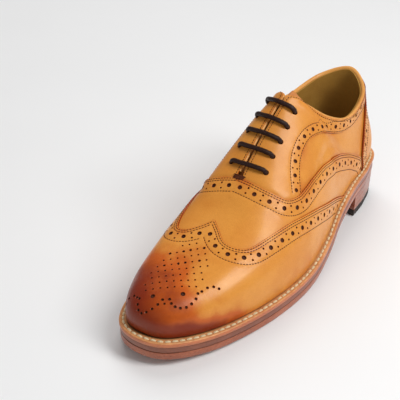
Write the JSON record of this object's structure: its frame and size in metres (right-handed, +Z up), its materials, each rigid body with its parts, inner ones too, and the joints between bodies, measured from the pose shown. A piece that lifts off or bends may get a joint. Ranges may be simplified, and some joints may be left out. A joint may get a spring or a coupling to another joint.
{
  "type": "leather oxford shoe",
  "caption": "Full-brogue leather oxford shoe for the left foot, with a welted leather sole, stacked heel, closed lacing and a tongue that hinges at the throat.",
  "frame": {"origin": "centre of the bounding box in plan, on the ground", "axes": "+Z up, +Y from toe to heel, +X towards the outer side of the left foot"},
  "size_m": [0.1016, 0.306, 0.1216],
  "materials": {
    "upper_leather": "burnished, polished",
    "binding_leather": "polished",
    "lining_leather": "matt",
    "tongue_leather": "polished",
    "sock_leather": "matt",
    "welt_leather": "waxed",
    "welt_thread": "waxed thread",
    "sole_leather": "edge dressed, semi-gloss",
    "midsole_leather": "edge dressed, semi-gloss",
    "heel_leather": "edge dressed, semi-gloss",
    "heel_rubber": "matt",
    "cork": "granular",
    "shank_steel": "plain",
    "insole_leather": "natural",
    "rib_canvas": "woven",
    "nail_brass": "plain",
    "stiffener": "matt",
    "stay_tape": "woven",
    "eyelet_metal": "painted",
    "lace_cord": "waxed",
    "aglet_film": "gloss",
    "tack_thread": "waxed thread"
  },
  "bodies": {
    "shoe": {"outsole": "sole_leather", "midsole": "midsole_leather", "welt": "welt_leather", "welt_stitching": "welt_thread", "cork_filler": "cork", "shank": "shank_steel", "insole_rib": "rib_canvas", "insole": "insole_leather", "sock_liner": "sock_leather", "heel_lift_1": "heel_leather", "heel_lift_2": "heel_leather", "heel_lift_3": "heel_leather", "heel_top_piece": "heel_rubber", "heel_nails": "nail_brass", "toe_cap": "upper_leather", "vamp": "upper_leather", "quarter_lateral": "upper_leather", "quarter_medial": "upper_leather", "facing_lateral": "upper_leather", "facing_medial": "upper_leather", "backstay": "upper_leather", "topline_binding": "binding_leather", "throat_bar_tack": "tack_thread", "vamp_lining": "lining_leather", "quarter_lining_lateral": "lining_leather", "quarter_lining_medial": "lining_leather", "heel_lining": "lining_leather", "toe_puff": "stiffener", "heel_counter": "stiffener", "eyelet_stay_lateral": "stay_tape", "eyelet_stay_medial": "stay_tape", "eyelets": "eyelet_metal", "lace": "lace_cord", "aglets": "aglet_film"},
    "tongue": {"tongue": "tongue_leather", "tongue_lining": "lining_leather"}
  },
  "joints": [
    {"name": "tongue_hinge", "type": "hinge", "parent": "shoe", "child": "tongue", "pos_m": [-0.0117, -0.0235, 0.07], "axis": [-1, 0, 0], "range_deg": [0, 20], "stiffness_Nm_per_rad": 0.05, "springref_deg": -14.32}
  ]
}
